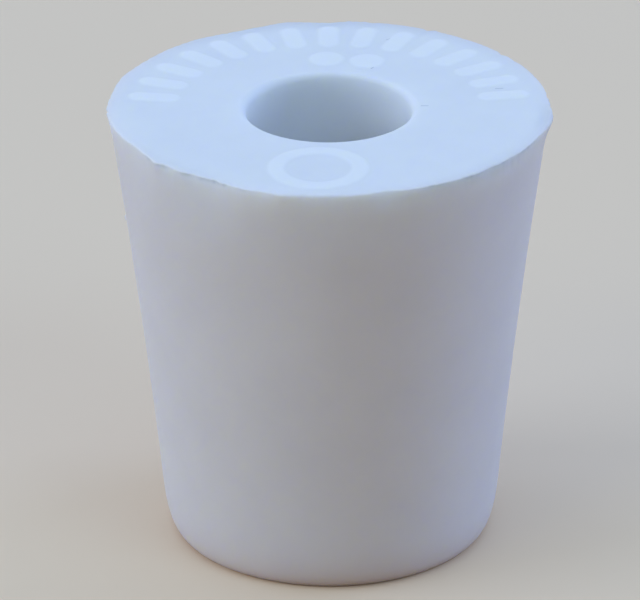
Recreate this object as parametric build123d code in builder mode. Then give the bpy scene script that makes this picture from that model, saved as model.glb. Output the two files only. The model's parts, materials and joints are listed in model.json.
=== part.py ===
from build123d import *
import os
from math import cos, exp, radians, sin

# Rubber stopper with a straight bore, moulded in one piece.
# Millimetres. +Z runs up the bore to the wide end, and the origin is the middle of the narrow end's face.

# Tapered body
length = 25.0
top_diameter = 24.0
base_diameter = 18.1
waist_depth = 0.19
foot_height = 3.0
foot_inset = 0.3
base_rounding = 0.9

# Bore
bore_diameter = 9.0
mouth_bevel = 0.3

# Moulding flash, a thin skin around the wide end that was torn and trimmed by hand
flash_thickness = 0.3
flare_height = 0.8
lip_bevel = 0.12
flash_points = 48

# Where the flash stands out or is cut back: bearing from +X in degrees, reach, half-width in degrees
flash_features = (
    (91, -0.20, 6),
    (116, -0.20, 9),
    (160, 0.12, 6),
    (181, 0.10, 8),
    (231, -0.15, 11),
    (294, -0.08, 8),
    (346, 0.34, 8),
)

# Plain raised marks on the wide end: an arc of bars, two pips and a ring
mark_height = 0.12
bar_count = 15
bar_length = 2.8
bar_width = 1.1
bar_margin = 1.0
bar_arc = (8.0, 172.0)
pip_diameter = 1.9
pip_bearings = (71.0, 91.0)
pip_margin = 2.0
ring_diameter = 5.4
ring_width = 0.9
ring_bearing = 266.0

# Sizes that follow from these
top_radius = top_diameter / 2
base_radius = base_diameter / 2
bore_radius = bore_diameter / 2
flash_underside = length - flash_thickness
flare_start = flash_underside - flare_height
wall_middle = (foot_height + flare_start) / 2
bar_radius = top_radius - bar_margin - bar_length / 2
pip_radius = bore_radius + pip_margin
ring_radius = (bore_radius + top_radius) / 2


def wall_radius(height):
    """Radius of the waisted wall at a height above the narrow end."""
    share = height / length
    straight = base_radius + (top_radius - base_radius) * share
    return straight - 4 * waist_depth * share * (1 - share)


def flash_radius(bearing):
    """Radius of the torn flash at a bearing in degrees."""
    radius = top_radius
    for centre, reach, half_width in flash_features:
        away = (bearing - centre + 180) % 360 - 180
        radius += reach * exp(-((away / half_width) ** 2))
    return radius


def flash_outline():
    """Points around the torn edge of the flash."""
    points = []
    for step in range(flash_points):
        bearing = 360 * step / flash_points
        radius = flash_radius(bearing)
        points.append((radius * cos(radians(bearing)), radius * sin(radians(bearing))))
    return points


with BuildPart() as stopper:
    # Body: flat narrow end, rounded foot and waisted wall, turned about the bore's axis
    with BuildSketch(Plane.XZ):
        with BuildLine():
            base = Line((0, 0), (base_radius - foot_inset, 0))
            wall = ThreePointArc(
                (wall_radius(foot_height), foot_height),
                (wall_radius(wall_middle), wall_middle),
                (wall_radius(flare_start), flare_start),
            )
            TangentArc(wall @ 0, base @ 1, tangent=-(wall % 0))
            Polyline(wall @ 1, (0, flare_start), base @ 0)
        make_face()
        fillet(vertices().sort_by(Axis.Y)[:2].sort_by(Axis.X)[-1], base_rounding)
    revolve(axis=Axis.Z)

    # Flare from the round wall to the torn outline, then the skin's own thickness with its worn upper edge
    with BuildSketch(Plane.XY.offset(flare_start)):
        Circle(wall_radius(flare_start))
    with BuildSketch(Plane.XY.offset(flash_underside)) as torn:
        with BuildLine():
            Spline(flash_outline(), periodic=True)
        make_face()
    loft()
    extrude(torn.sketch, amount=flash_thickness)
    chamfer(edges().group_by(Axis.Z)[-1], lip_bevel)

    # Arc of plain bars along the far side of the wide end
    with BuildSketch(Plane.XY.offset(length)):
        bar_step = (bar_arc[1] - bar_arc[0]) / (bar_count - 1)
        with PolarLocations(bar_radius, bar_count, start_angle=bar_arc[0], angular_range=bar_step * bar_count):
            SlotOverall(bar_length, bar_width)
    extrude(amount=mark_height)

    # Two pips inside the arc
    with BuildSketch(Plane.XY.offset(length)):
        pip_step = pip_bearings[1] - pip_bearings[0]
        with PolarLocations(pip_radius, 2, start_angle=pip_bearings[0], angular_range=2 * pip_step):
            Circle(pip_diameter / 2)
    extrude(amount=mark_height)

    # Plain ring on the near side
    with BuildSketch(Plane.XY.offset(length)):
        with PolarLocations(ring_radius, 1, start_angle=ring_bearing):
            Circle(ring_diameter / 2)
            Circle(ring_diameter / 2 - ring_width, mode=Mode.SUBTRACT)
    extrude(amount=mark_height)

    # Straight bore, bevelled at both mouths
    Hole(bore_radius)
    mouths = edges().filter_by(GeomType.CIRCLE).filter_by(lambda edge: abs(edge.radius - bore_radius) < 1e-6)
    chamfer(mouths, mouth_bevel)

stopper.part.label = "stopper"

os.makedirs("parts", exist_ok=True)
export_step(stopper.part, "parts/stopper.step")
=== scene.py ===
import json
from math import cos, pi, radians, sin

import bpy
import numpy as np
from mathutils import Matrix, Vector


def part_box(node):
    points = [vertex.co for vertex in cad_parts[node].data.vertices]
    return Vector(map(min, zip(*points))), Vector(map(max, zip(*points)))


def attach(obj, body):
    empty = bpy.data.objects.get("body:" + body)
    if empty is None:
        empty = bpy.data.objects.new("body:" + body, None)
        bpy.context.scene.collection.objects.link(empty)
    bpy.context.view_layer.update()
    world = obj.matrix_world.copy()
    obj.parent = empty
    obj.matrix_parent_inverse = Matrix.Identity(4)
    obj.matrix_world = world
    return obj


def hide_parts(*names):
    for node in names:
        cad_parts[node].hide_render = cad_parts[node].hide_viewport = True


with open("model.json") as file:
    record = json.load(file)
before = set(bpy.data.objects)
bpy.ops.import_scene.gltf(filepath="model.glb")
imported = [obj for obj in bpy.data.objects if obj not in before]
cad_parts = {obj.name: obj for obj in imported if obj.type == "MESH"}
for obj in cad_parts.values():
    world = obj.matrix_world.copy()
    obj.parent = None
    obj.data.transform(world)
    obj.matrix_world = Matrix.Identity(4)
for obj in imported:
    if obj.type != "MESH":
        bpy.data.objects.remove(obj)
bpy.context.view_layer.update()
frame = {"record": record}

# White rubber stopper, standing on its narrow end.
# Lengths are in millimetres unless a comment says metres. Angles are in degrees, and bearings count from +X.
MM = 0.001

# Body. The bore and the length come from the frame, in which the marks stand MARK_HEIGHT above the wide end.
BORE_RADIUS = next(mount for mount in frame["record"]["mounts"] if mount["name"] == "bore")["dims"]["r_mm"]
MARK_HEIGHT = 0.12
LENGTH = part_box("stopper")[1][2] / MM - MARK_HEIGHT
TOP_RADIUS = 12.0
BASE_RADIUS = 9.05
WAIST_DEPTH = 0.19

# Foot, rounded as a quarter of a superellipse
FOOT_HEIGHT = 3.0
FOOT_INSET = 0.9
FOOT_POWER = 2.6

# Mouths of the bore: the lower one is bevelled, and the upper one is worn round
MOUTH_BEVEL = 0.3
MOUTH_ROUNDING = 0.42
MOUTH_DEPTH = 0.6

# Where the upper mouth is less worn: bearing, share of the wear that is missing, half-width
CRISP_MOUTH = ((75, 0.5, 50),)

# Flash. Below its underside it leans out of the wall or back, later and harder the greater a sharpness is.
SKIN_THICKNESS = 0.12
FLARE_HEIGHT = 1.5
FLARE_SHARPNESS = 3.0
CUT_BACK_HEIGHT = 4.0
CUT_BACK_SHARPNESS = 1.6
TEAR_SHARPNESS = 2.5
CREASE_SHARPNESS = 12

# The more the flash stands out, the softer it leans, up to this overhang and down to this sharpness
FULL_FLARE = 0.3
FULL_FLARE_SHARPNESS = 1.5

# Broad outline of the flash: bearing, how far it stands out or is cut back, half-width
FLASH_FEATURES = (
    (91, -0.12, 6),
    (116, -0.12, 9),
    (160, 0.12, 6),
    (181, 0.10, 8),
    (199, -0.10, 6),
    (206, -0.18, 4),
    (211, -0.13, 4.5),
    (225, -0.25, 22),
    (236, -0.32, 9.5),
    (268, -0.12, 18),
    (290, -0.21, 33),
    (346, 0.06, 6),
    (353, 0.22, 6.5),
)

# Fine tears and tags along it: bearing, how far they go in or out, half-width
FINE_TEARS = (
    (36.5, -0.12, 1.0),
    (60.5, 0.08, 0.8),
    (62.3, -0.16, 0.9),
    (78.0, -0.10, 1.2),
    (84.5, 0.08, 0.8),
    (101.5, 0.06, 3.0),
    (109.0, -0.06, 1.5),
    (217.5, 0.08, 1.6),
    (221.7, -0.15, 2.2),
    (230.4, -0.09, 1.5),
    (238.0, -0.08, 2.0),
    (239.5, 0.05, 1.0),
    (251.5, -0.09, 3.0),
    (258.0, 0.09, 2.5),
    (285.0, -0.17, 4.2),
    (316.5, -0.11, 3.2),
    (324.5, -0.09, 3.5),
)

# Ragged line of the whole edge. A finer one of half the spacing and depth is added to it.
TEAR_SPACING = 2.2
TEAR_DEPTH = 0.025

# Lip, the upper edge of the flash: it droops a little, and is rounded above a plain band
LIP_DROOP = 0.02
LIP_DROOP_WIDTH = 0.4
LIP_BAND = 0.03
LIP_ROUNDING = 0.06

# Where the lip was trimmed and is rounder: bearing, added rounding, half-width
TRIMMED = ((91, 0.2, 6), (116, 0.2, 9), (222, 0.05, 14), (268, 0.07, 16), (314, 0.06, 14), (352, 0.12, 7))

# Dip of the wide end at the right, DIP_INSIDE in from its curled lip: bearing, depth, half-width
CURLED_DIP = ((351, 0.05, 7),)
DIP_INSIDE = 0.35
DIP_WIDTH = 0.2

# Burr along the lip, and where it stands highest: bearing, height, half-width
BURR_HEIGHT = 0.03
BURR_SPACING = 3.0
BURR_WIDTH = 0.12
STANDING_BURR = ((35, 0.04, 28),)

# Broken crease where the flash leaves the wall: bearing, share of the full depth, half-width
CREASES = (
    (214.0, 0.8, 1.6),
    (219.7, 0.8, 1.8),
    (228.6, 0.8, 2.0),
    (233.4, 0.6, 1.6),
    (237.0, 1.0, 2.0),
    (240.5, 0.8, 1.8),
    (246.6, 0.4, 1.6),
    (298.7, 0.7, 4.2),
    (310.0, 0.7, 4.0),
    (321.0, 0.6, 3.0),
    (334.0, 1.0, 5.0),
)
CREASE_DEPTH = 0.08

# Random breaks in the crease: their spacing, and about what share of it they take away
CREASE_SPACING = 1.2
CREASE_BREAKS = 0.35

# Painted shade in the crease under the flash, from 0 to 1 at its darkest, and how far below the flash it
# reaches
CREASE_PAINTED_SHADE = 0.55
CREASE_PAINTED_SHADE_HEIGHT = 0.11

# Soft painted shade on the wall below the overhanging flash: bearing, darkness, half-width
PAINTED_SHADE_BELOW = ((222, 0.14, 20), (318, 0.34, 26))
PAINTED_SHADE_BELOW_HEIGHT = 0.45

# Painted shade on the wide end along the lip, where its edge rolls over, where the far margin rounds off and
# where the tip curls: bearing, darkness, half-width, how far in it reaches
PAINTED_SHADE_ALONG_LIP = ((222, 0.14, 16, 0.55), (318, 0.14, 24, 0.55), (90, 0.3, 62, 0.85), (352, 0.3, 8, 0.55))

# Unevenness of the wall, which changes from one band of heights to the next
SWELL = 0.004
SWELL_SPACING = 24
SWELL_BAND = 4

# A torn thread on the wall. In its sizes, close rings reach THREAD_SPREAD to both sides of it,
# and the other rings keep THREAD_CLEARANCE away.
THREAD_BEARING = 182.5
THREAD_HEIGHT = 18.65
THREAD_REACH = 0.12
THREAD_SIZE = 0.13
THREAD_SPREAD = 2
THREAD_CLEARANCE = 2.5

# Plain raised marks, which are softer and lower than the space that the frame gives them
MARK_RELIEF = 0.05
MARK_EDGE = 0.34

# Bars along the far side, in an arc from the first one's bearing to the last one's
BAR_COUNT = 15
BAR_LENGTH = 2.8
BAR_WIDTH = 1.1
BAR_MARGIN = 1.0
BAR_ARC = (8.0, 172.0)

# Two pips inside the arc
PIP_RADIUS = 0.95
PIP_BEARINGS = (71.0, 91.0)
PIP_MARGIN = 2.0

# Plain ring on the near side
RING_RADIUS = 2.7
RING_WIDTH = 0.9
RING_BEARING = 266.0

# Small dark scratches on the wide end: place in X and in Y, half-length, bearing of the line
SCRATCHES = (
    (3.3, 9.2, 0.12, 35),
    (2.4, 5.2, 0.10, 50),
    (9.3, 2.3, 0.20, 5),
    (5.2, 0.0, 0.18, 0),
    (-9.3, 1.7, 0.20, 12),
)
SCRATCH_WIDTH = 0.05

# Seeds of the random lines
TEAR_SEED = 11
FINER_TEAR_SEED = 12
BURR_SEED = 21
CREASE_SEED = 31
SWELL_SEED = 40

# Mesh density: points around the stopper, and rings in each stretch of its surface
AROUND = 640
BASE_RINGS = 4
FOOT_RINGS = 14
WALL_RINGS = 26
THREAD_RINGS = 6
FLARE_RINGS = 14
FLARE_CROWDING = 1.8
LIP_RINGS = 6
TOP_RINGS = 58
MOUTH_RINGS = 9
BORE_RINGS = 8

# Bearings of the points in each ring, with their cosines and sines
BEARINGS = np.arange(AROUND) * 360 / AROUND
COSINES = np.cos(np.radians(BEARINGS))
SINES = np.sin(np.radians(BEARINGS))


def fade(distance, reach):
    """1 at no distance, falling to 0 beyond a reach."""
    return np.exp(-((distance / reach) ** 2))


def bell(centre, half_width):
    """1 at a bearing, falling to 0 on both sides of it."""
    away = (BEARINGS - centre + 180) % 360 - 180
    return fade(away, half_width)


def bells(rows):
    """Sum of bells around the stopper, from rows of a bearing, a size and a half-width."""
    return sum(size * bell(centre, half_width) for centre, size, half_width in rows)


def smooth(share):
    """A share from 0 to 1, eased at both ends."""
    return share * share * (3 - 2 * share)


def uneven(seed, spacing, size):
    """A smooth random line around the stopper, about size high, with a knot every spacing degrees."""
    knots = int(round(360 / spacing))
    heights = np.random.RandomState(seed).normal(0, size, knots)
    places = BEARINGS / 360 * knots
    before = np.floor(places).astype(int)
    share = smooth(places - before)
    return heights[before % knots] * (1 - share) + heights[(before + 1) % knots] * share


def wall_radius(height):
    """Radius of the waisted wall at a height."""
    share = height / LENGTH
    return BASE_RADIUS + (TOP_RADIUS - BASE_RADIUS) * share - 4 * WAIST_DEPTH * share * (1 - share)


def flash_outlines():
    """Radius of the flash's broad outline at every bearing, and of its torn edge."""
    broad = TOP_RADIUS + bells(FLASH_FEATURES)
    ragged = uneven(TEAR_SEED, TEAR_SPACING, TEAR_DEPTH)
    ragged = ragged + uneven(FINER_TEAR_SEED, TEAR_SPACING / 2, TEAR_DEPTH / 2)
    return broad, broad + bells(FINE_TEARS) - np.abs(ragged)


def creases():
    """How deep the broken crease under the flash is at every bearing, 0 to 1."""
    whole = np.clip(1 - np.abs(uneven(CREASE_SEED, CREASE_SPACING, CREASE_BREAKS)), 0, 1)
    return bells(CREASES) * whole


# For every bearing: the flash's broad outline and its torn edge, the rounding of its lip, the height of its
# underside, the depth of its crease and the wear of the upper mouth
BROAD, EDGE = flash_outlines()
ROUNDING = LIP_ROUNDING + bells(TRIMMED)
UNDERSIDE = LENGTH - np.maximum(SKIN_THICKNESS, LIP_DROOP + ROUNDING + LIP_BAND)
CREASE = creases()
MOUTH_WEAR = 1 - bells(CRISP_MOUTH)


def step_up(inside):
    """Height of a mark, 0 to 1, at a distance inside its outline, which is halfway up its soft edge."""
    return smooth(np.clip(inside / MARK_EDGE + 0.5, 0, 1))


def away_from(x, y, radius, bearing):
    """Distance of points from the place at a radius and a bearing."""
    return np.hypot(x - radius * cos(radians(bearing)), y - radius * sin(radians(bearing)))


def bars(x, y):
    """Height of the arc of plain bars, 0 to 1."""
    middle = TOP_RADIUS - BAR_MARGIN - BAR_LENGTH / 2
    half_run = (BAR_LENGTH - BAR_WIDTH) / 2
    height = np.zeros_like(x)
    for bearing in np.radians(np.linspace(*BAR_ARC, BAR_COUNT)):
        along = x * cos(bearing) + y * sin(bearing) - middle
        across = y * cos(bearing) - x * sin(bearing)
        away = np.hypot(np.maximum(np.abs(along) - half_run, 0), across)
        height = np.maximum(height, step_up(BAR_WIDTH / 2 - away))
    return height


def pips(x, y):
    """Height of the two pips, 0 to 1."""
    middle = BORE_RADIUS + PIP_MARGIN
    away = np.minimum(*(away_from(x, y, middle, bearing) for bearing in PIP_BEARINGS))
    return step_up(PIP_RADIUS - away)


def plain_ring(x, y):
    """Height of the plain ring, 0 to 1."""
    middle = (BORE_RADIUS + TOP_RADIUS) / 2
    off_line = np.abs(away_from(x, y, middle, RING_BEARING) - (RING_RADIUS - RING_WIDTH / 2))
    return step_up(RING_WIDTH / 2 - off_line)


def relief(x, y):
    """Height of all the raised marks on the wide end, 0 to 1."""
    return np.maximum.reduce([bars(x, y), pips(x, y), plain_ring(x, y)])


def thread(height):
    """How far the torn thread stands out of the wall at a height, at every bearing."""
    sideways = np.radians(BEARINGS - THREAD_BEARING) * wall_radius(height)
    return THREAD_REACH * fade(np.hypot(sideways, height - THREAD_HEIGHT), THREAD_SIZE)


def flare(height):
    """How far the wall at a height leans out to the flash, or back to where the flash was cut away."""
    overhang = BROAD - wall_radius(UNDERSIDE)
    flared = np.clip((height - UNDERSIDE) / FLARE_HEIGHT + 1, 0, 1)
    leaning = np.clip((height - UNDERSIDE) / CUT_BACK_HEIGHT + 1, 0, 1)
    softened = (FLARE_SHARPNESS - FULL_FLARE_SHARPNESS) * np.clip(overhang / FULL_FLARE, 0, 1)
    out = np.maximum(overhang, 0) * flared ** (FLARE_SHARPNESS - softened)
    back = np.minimum(overhang, 0) * leaning ** CUT_BACK_SHARPNESS
    tears = (EDGE - BROAD) * flared ** TEAR_SHARPNESS
    return out + back + tears - CREASE_DEPTH * CREASE * flared ** CREASE_SHARPNESS


def painted_shade_below(height):
    """How dark the painted shade under the flash is on the wall at a height, 0 to 1 at every bearing."""
    below = UNDERSIDE - height
    soft = bells(PAINTED_SHADE_BELOW) * fade(below, PAINTED_SHADE_BELOW_HEIGHT)
    return soft + CREASE_PAINTED_SHADE * CREASE * fade(below, CREASE_PAINTED_SHADE_HEIGHT)


def painted_shade_inside(from_lip):
    """How dark the painted shade along the lip is on the wide end at a distance in from the lip, 0 to 1 at
    every bearing.
    """
    shade = 0
    for centre, darkness, half_width, reach in PAINTED_SHADE_ALONG_LIP:
        shade = shade + darkness * bell(centre, half_width) * fade(from_lip, reach)
    return shade


# The surface is a loop of rings. Each has a radius, a height and a tone, as one number or as one for every
# bearing. The tone is above 0 on the raised marks and below 0 where shade is painted in, under the flash and
# along the lip.


def narrow_end():
    """Rings from the bevelled lower mouth across the flat end and round the foot."""
    flat_start = BORE_RADIUS + MOUTH_BEVEL
    flat_end = BASE_RADIUS - FOOT_INSET
    rings = [(BORE_RADIUS, MOUTH_BEVEL, 0), (BORE_RADIUS + MOUTH_BEVEL / 2, MOUTH_BEVEL / 2, 0)]
    for radius in np.linspace(flat_start, flat_end, BASE_RINGS):
        rings.append((radius, 0, 0))
    for angle in np.linspace(0, pi / 2, FOOT_RINGS + 1)[1:]:
        height = FOOT_HEIGHT * (1 - cos(angle) ** (2 / FOOT_POWER))
        inset = FOOT_INSET * (1 - sin(angle) ** (2 / FOOT_POWER))
        rings.append((wall_radius(height) - inset, height, 0))
    return rings


def wall():
    """Rings up the wall, closer together at the thread, then along the flare to the flash's underside."""
    flare_start = UNDERSIDE.min() - FLARE_HEIGHT
    close = THREAD_HEIGHT + THREAD_SIZE * np.linspace(-THREAD_SPREAD, THREAD_SPREAD, THREAD_RINGS)
    even = np.linspace(FOOT_HEIGHT, flare_start, WALL_RINGS + 1)[1:]
    clear = even[np.abs(even - THREAD_HEIGHT) > THREAD_CLEARANCE * THREAD_SIZE]
    rings = []
    for height in np.sort(np.append(close, clear)):
        swell = uneven(SWELL_SEED + int(height / SWELL_BAND), SWELL_SPACING, SWELL)
        rings.append((wall_radius(height) + swell + thread(height) + flare(height), height, 0))
    for left in np.linspace(1, 0, FLARE_RINGS + 1)[1:]:
        height = UNDERSIDE - (UNDERSIDE - flare_start) * left ** FLARE_CROWDING
        # The flare's rings carry the painted shade under the flash as a tone below 0
        rings.append((wall_radius(height) + flare(height), height, -painted_shade_below(height)))
    return rings


def lip():
    """Rings up the thin outer band of the flash and over its rounded edge."""
    crown = LENGTH - LIP_DROOP
    shade_under_lip = painted_shade_below(UNDERSIDE)
    shade_over_lip = painted_shade_inside(0)
    rings = []
    for angle in np.linspace(0, pi / 2, LIP_RINGS):
        radius = EDGE - ROUNDING * (1 - cos(angle))
        height = crown - ROUNDING * (1 - sin(angle))
        # Painted shade: the shade under the flash on the lip's lower side, and the shade along the lip on
        # its upper side
        rings.append((radius, height, -np.maximum(shade_under_lip * (1 - sin(angle)), shade_over_lip)))
    return rings


def top_face():
    """Rings from the lip in to the upper mouth, with the raised marks."""
    outer = EDGE - ROUNDING
    inner = BORE_RADIUS + MOUTH_ROUNDING * MOUTH_WEAR
    burr = np.maximum(uneven(BURR_SEED, BURR_SPACING, BURR_HEIGHT), 0) + bells(STANDING_BURR)
    rings = []
    for share in np.linspace(0, 1, TOP_RINGS + 1)[1:]:
        radius = outer + (inner - outer) * share
        from_lip = outer - radius
        height = LENGTH - LIP_DROOP * fade(from_lip, LIP_DROOP_WIDTH)
        height -= bells(CURLED_DIP) * fade(from_lip - DIP_INSIDE, DIP_WIDTH)
        height += burr * fade(from_lip, BURR_WIDTH)
        marks = relief(radius * COSINES, radius * SINES)
        # The tone is the marks' height less the painted shade along the lip
        rings.append((radius, height + MARK_RELIEF * marks, marks - painted_shade_inside(from_lip)))
    return rings


def bore():
    """Rings over the worn upper mouth and down the bore."""
    rings = []
    for angle in np.linspace(0, pi / 2, MOUTH_RINGS + 1)[1:]:
        radius = BORE_RADIUS + MOUTH_ROUNDING * MOUTH_WEAR * (1 - sin(angle))
        rings.append((radius, LENGTH - MOUTH_DEPTH * MOUTH_WEAR * (1 - cos(angle)), 0))
    for height in np.linspace(LENGTH - MOUTH_DEPTH, MOUTH_BEVEL, BORE_RINGS + 1)[1:-1]:
        rings.append((BORE_RADIUS, height, 0))
    return rings


def closed_mesh(name, rings):
    """A mesh that joins each ring to the next and the last one to the first, and keeps their tones."""
    points = np.empty((len(rings), AROUND, 3))
    tones = np.empty((len(rings), AROUND))
    for number, (radius, height, tone) in enumerate(rings):
        points[number, :, 0] = radius * COSINES
        points[number, :, 1] = radius * SINES
        points[number, :, 2] = height
        tones[number] = tone
    index = np.arange(len(rings) * AROUND).reshape(len(rings), AROUND)
    above = np.roll(index, -1, axis=0)
    faces = np.stack([index, np.roll(index, -1, axis=1), np.roll(above, -1, axis=1), above], axis=-1)
    mesh = bpy.data.meshes.new(name)
    mesh.from_pydata((points.reshape(-1, 3) * MM).tolist(), [], faces.reshape(-1, 4).tolist())
    mesh.shade_smooth()
    mesh.attributes.new("tone", "FLOAT", "POINT").data.foreach_set("value", tones.ravel())
    return mesh


def make_stopper():
    """The stopper as one piece: out along the narrow end, up the wall, over the top and down the bore."""
    mesh = closed_mesh("stopper_rubber", narrow_end() + wall() + lip() + top_face() + bore())
    piece = bpy.data.objects.new("stopper_rubber", mesh)
    bpy.context.collection.objects.link(piece)
    return piece


def srgb(red, green, blue):
    """A colour written as 0 to 255, made linear."""
    linear = [((value / 255 + 0.055) / 1.055) ** 2.4 for value in (red, green, blue)]
    return (*linear, 1.0)


def new_material(name):
    """A material with an empty node tree, and that tree."""
    material = bpy.data.materials.new(name)
    material.use_nodes = True
    material.node_tree.nodes.clear()
    return material, material.node_tree


def node(tree, kind, inputs=None, **settings):
    """A shader node with its settings and unlinked inputs filled in."""
    made = tree.nodes.new(kind)
    for name, value in settings.items():
        setattr(made, name, value)
    for name, value in (inputs or {}).items():
        made.inputs[name].default_value = value
    return made


def noise(tree, place, settings):
    """Soft noise at a place, from 0 to 1."""
    made = node(tree, "ShaderNodeTexNoise", settings)
    tree.links.new(place, made.inputs["Vector"])
    return made.outputs["Fac"]


def larger(tree, one, other):
    """The larger of two values."""
    both = node(tree, "ShaderNodeMath", operation="MAXIMUM")
    tree.links.new(one, both.inputs[0])
    tree.links.new(other, both.inputs[1])
    return both.outputs["Value"]


def mapped(tree, value, ends):
    """A value mapped from one range to another and kept within it. An end that isn't given is 0 or 1."""
    made = node(tree, "ShaderNodeMapRange", ends)
    tree.links.new(value, made.inputs["Value"])
    return made.outputs["Result"]


def overlaid(tree, under, colour, share):
    """A colour laid over what is under it, as far as a share from 0 to 1 says."""
    mix = node(tree, "ShaderNodeMix", {"B": colour}, data_type="RGBA")
    tree.links.new(share, mix.inputs["Factor"])
    tree.links.new(under, mix.inputs["A"])
    return mix.outputs["Result"]


# Rubber: its two whites, where the clouding goes from one to the other, polished rubber, and the dark colour
# of scratches and of painted shade
WHITES = (srgb(232, 234, 238), srgb(236, 238, 241))
CLOUDING = (0.3, 0.7)
POLISHED = srgb(242, 244, 247)
# One dark colour serves the scratches and the painted shade
SCRATCH_AND_PAINTED_SHADE_COLOUR = srgb(176, 184, 196)

# Settings of the rubber's shader nodes, with noise in waves per metre
CLOUDS = {"Scale": 260.0, "Detail": 4.0, "Roughness": 0.55}
CLOUD_BUMPS = {"Strength": 0.3, "Distance": 0.1 * MM}
GRAIN = {"Scale": 2400.0, "Detail": 3.0}
GRAIN_BUMPS = {"Strength": 0.25, "Distance": 0.03 * MM}
GRAIN_TO_ROUGHNESS = {"To Min": 0.5, "To Max": 0.64}
TONE_TO_POLISH = {"From Min": 0.1, "From Max": 0.9}
# A tone below 0 is painted shade
TONE_TO_PAINTED_SHADE = {"From Min": 0.0, "From Max": -1.0}
SCRATCH_FADE = {"From Max": SCRATCH_WIDTH * MM, "To Min": 1.0, "To Max": 0.0}
SATIN = {
    "IOR": 1.5,
    "Specular IOR Level": 0.35,
    "Subsurface Weight": 0.9,
    "Subsurface Radius": (1.0, 1.0, 0.7),
    "Subsurface Scale": 1.2 * MM,
}


def scratch(tree, place, x, y, half_length, bearing):
    """1 along one scratch of the wide end, falling to 0 at its sides."""
    line = (cos(radians(bearing)), sin(radians(bearing)), 0)
    offset = node(tree, "ShaderNodeVectorMath", {1: (x * MM, y * MM, LENGTH * MM)}, operation="SUBTRACT")
    along = node(tree, "ShaderNodeVectorMath", {1: line}, operation="DOT_PRODUCT")
    within = node(tree, "ShaderNodeClamp", {"Min": -half_length * MM, "Max": half_length * MM})
    nearest = node(tree, "ShaderNodeVectorMath", {0: line}, operation="SCALE")
    away = node(tree, "ShaderNodeVectorMath", operation="DISTANCE")
    tree.links.new(place, offset.inputs[0])
    tree.links.new(offset.outputs["Vector"], along.inputs[0])
    tree.links.new(along.outputs["Value"], within.inputs["Value"])
    tree.links.new(within.outputs["Result"], nearest.inputs["Scale"])
    tree.links.new(offset.outputs["Vector"], away.inputs[0])
    tree.links.new(nearest.outputs["Vector"], away.inputs[1])
    return mapped(tree, away.outputs["Value"], SCRATCH_FADE)


def scratches(tree, place):
    """1 on any scratch of the wide end, else 0."""
    deepest = scratch(tree, place, *SCRATCHES[0])
    for row in SCRATCHES[1:]:
        deepest = larger(tree, deepest, scratch(tree, place, *row))
    return deepest


def rubber_colour(tree, place, clouds):
    """Clouded white, lighter on the marks that handling has polished, and darker in scratches and where
    shade is painted in.
    """
    white = node(tree, "ShaderNodeValToRGB")
    for element, position, colour in zip(white.color_ramp.elements, CLOUDING, WHITES):
        element.position = position
        element.color = colour
    tree.links.new(clouds, white.inputs["Fac"])
    tone = node(tree, "ShaderNodeAttribute", attribute_name="tone").outputs["Fac"]
    polished = overlaid(tree, white.outputs["Color"], POLISHED, mapped(tree, tone, TONE_TO_POLISH))
    # Painted shade from the tone, joined with the scratches
    scratches_and_painted_shade = larger(tree, mapped(tree, tone, TONE_TO_PAINTED_SHADE), scratches(tree, place))
    return overlaid(tree, polished, SCRATCH_AND_PAINTED_SHADE_COLOUR, scratches_and_painted_shade)


def rubber_normal(tree, clouds, grain):
    """Fine grain over a faint swell."""
    skin = node(tree, "ShaderNodeBump", GRAIN_BUMPS)
    swell = node(tree, "ShaderNodeBump", CLOUD_BUMPS)
    tree.links.new(grain, skin.inputs["Height"])
    tree.links.new(clouds, swell.inputs["Height"])
    tree.links.new(skin.outputs["Normal"], swell.inputs["Normal"])
    return swell.outputs["Normal"]


def rubber():
    """White moulded rubber: cool white with faint clouding, satin, slightly translucent."""
    material, tree = new_material("white_rubber")
    place = node(tree, "ShaderNodeTexCoord").outputs["Object"]
    clouds = noise(tree, place, CLOUDS)
    grain = noise(tree, place, GRAIN)
    colour = rubber_colour(tree, place, clouds)
    roughness = mapped(tree, grain, GRAIN_TO_ROUGHNESS)
    normal = rubber_normal(tree, clouds, grain)
    shader = node(tree, "ShaderNodeBsdfPrincipled", SATIN)
    tree.links.new(colour, shader.inputs["Base Color"])
    tree.links.new(roughness, shader.inputs["Roughness"])
    tree.links.new(normal, shader.inputs["Normal"])
    output = node(tree, "ShaderNodeOutputMaterial")
    tree.links.new(shader.outputs["BSDF"], output.inputs["Surface"])
    return material


# Stage, in metres. Floor and backdrop show one colour, and light the stopper with another.
FLOOR_SIZE = 4.0
FLOOR_SEEN = srgb(246, 221, 192)
FLOOR_BOUNCE = srgb(187, 135, 82)
BACKDROP = srgb(205, 205, 203)
SKY = srgb(208, 226, 255)
SKY_STRENGTH = 0.44

# Square soft lamps: name, place and size in metres, power in watts, colour
LAMPS = (
    ("lamp_overhead", (0.0, 0.08, 0.75), 0.7, 1.65, srgb(187, 218, 255)),
    ("lamp_left", (-0.75, -0.15, 0.30), 0.45, 2.44, srgb(209, 228, 255)),
    ("lamp_right", (0.75, 0.25, 0.25), 0.45, 2.62, srgb(167, 197, 255)),
    ("lamp_high_left", (-0.55, -0.55, 0.7), 0.45, 0.67, srgb(247, 255, 195)),
    ("lamp_high_right", (0.55, -0.55, 0.7), 0.45, 1.35, srgb(184, 224, 255)),
    ("lamp_back_left", (-0.75, 0.45, 0.4), 0.45, 1.02, srgb(167, 189, 255)),
)


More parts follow.
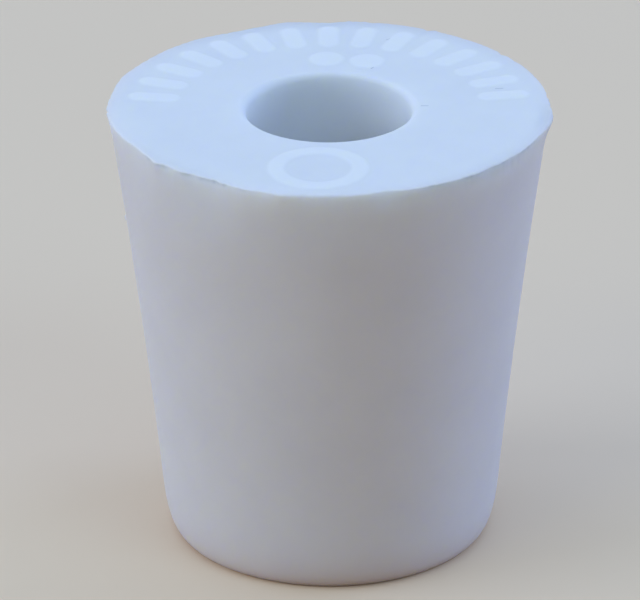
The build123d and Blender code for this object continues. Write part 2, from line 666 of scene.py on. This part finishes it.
def show_and_light(tree, shown, lighting, output):
    """Sends one shader to rays from the camera, off gloss and through glass, and another to the rest."""
    path = node(tree, "ShaderNodeLightPath")
    direct = larger(tree, path.outputs["Is Camera Ray"], path.outputs["Is Glossy Ray"])
    mix = node(tree, "ShaderNodeMixShader")
    tree.links.new(larger(tree, direct, path.outputs["Is Transmission Ray"]), mix.inputs["Fac"])
    tree.links.new(lighting.outputs[0], mix.inputs[1])
    tree.links.new(shown.outputs[0], mix.inputs[2])
    tree.links.new(mix.outputs["Shader"], output.inputs["Surface"])


def make_floor():
    """Plain pale floor, which bounces a darker, warmer light onto the stopper than it shows."""
    half = FLOOR_SIZE / 2
    mesh = bpy.data.meshes.new("floor")
    corners = [(-half, -half, 0), (half, -half, 0), (half, half, 0), (-half, half, 0)]
    mesh.from_pydata(corners, [], [(0, 1, 2, 3)])
    floor = bpy.data.objects.new("floor", mesh)
    bpy.context.collection.objects.link(floor)
    material, tree = new_material("floor")
    pale = node(tree, "ShaderNodeBsdfDiffuse", {"Color": FLOOR_SEEN})
    dark = node(tree, "ShaderNodeBsdfDiffuse", {"Color": FLOOR_BOUNCE})
    show_and_light(tree, pale, dark, node(tree, "ShaderNodeOutputMaterial"))
    mesh.materials.append(material)


def make_world():
    """Soft cool sky light, with a pale backdrop where it is seen."""
    world = bpy.data.worlds.new("studio")
    bpy.context.scene.world = world
    world.use_nodes = True
    tree = world.node_tree
    tree.nodes.clear()
    pale = node(tree, "ShaderNodeBackground", {"Color": BACKDROP, "Strength": 1.0})
    sky = node(tree, "ShaderNodeBackground", {"Color": SKY, "Strength": SKY_STRENGTH})
    show_and_light(tree, pale, sky, node(tree, "ShaderNodeOutputWorld"))


def make_lamp(name, place, size, power, colour):
    """Square soft lamp aimed at the middle of the stopper."""
    lamp = bpy.data.lights.new(name, "AREA")
    lamp.shape = "SQUARE"
    lamp.size = size
    lamp.energy = power
    lamp.color = colour[:3]
    holder = bpy.data.objects.new(name, lamp)
    holder.location = place
    aim = Vector((0, 0, LENGTH / 2 * MM)) - Vector(place)
    holder.rotation_euler = aim.to_track_quat("-Z", "Y").to_euler()
    holder.visible_camera = False
    bpy.context.collection.objects.link(holder)


# Camera, fitted to the photograph. Its distance and its pixels per millimetre hold at the stopper's middle.
CAMERA_DISTANCE = 400.0
CAMERA_ELEVATION = 25.251
CAMERA_PAN = 0.0780
CAMERA_TILT = 0.1142
CAMERA_ROLL = -0.2906
PIXELS_PER_MM = 18.173
IMAGE_WIDTH = 640
SENSOR_WIDTH = 36.0
CLIP_START = 10.0


def make_camera():
    """Long lens, at the photograph's height and framing."""
    data = bpy.data.cameras.new("camera")
    data.sensor_fit = "HORIZONTAL"
    data.sensor_width = SENSOR_WIDTH
    data.lens = PIXELS_PER_MM * CAMERA_DISTANCE / IMAGE_WIDTH * SENSOR_WIDTH
    data.clip_start = CLIP_START * MM
    camera = bpy.data.objects.new("camera", data)
    bpy.context.collection.objects.link(camera)
    elevation = radians(CAMERA_ELEVATION)
    place = Vector((0, -cos(elevation), sin(elevation))) * CAMERA_DISTANCE + Vector((0, 0, LENGTH / 2))
    turn = Matrix.Rotation(pi / 2 - elevation, 4, "X")
    turn = turn @ Matrix.Rotation(radians(CAMERA_PAN), 4, "Y")
    turn = turn @ Matrix.Rotation(radians(CAMERA_TILT), 4, "X")
    turn = turn @ Matrix.Rotation(radians(CAMERA_ROLL), 4, "Z")
    camera.matrix_world = Matrix.Translation(place * MM) @ turn
    bpy.context.scene.camera = camera


make_camera()
make_floor()
make_world()
for lamp in LAMPS:
    make_lamp(*lamp)

stopper = make_stopper()
stopper.data.materials.append(rubber())
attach(stopper, "root")
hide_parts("stopper")

bpy.context.scene.view_settings.view_transform = "Standard"
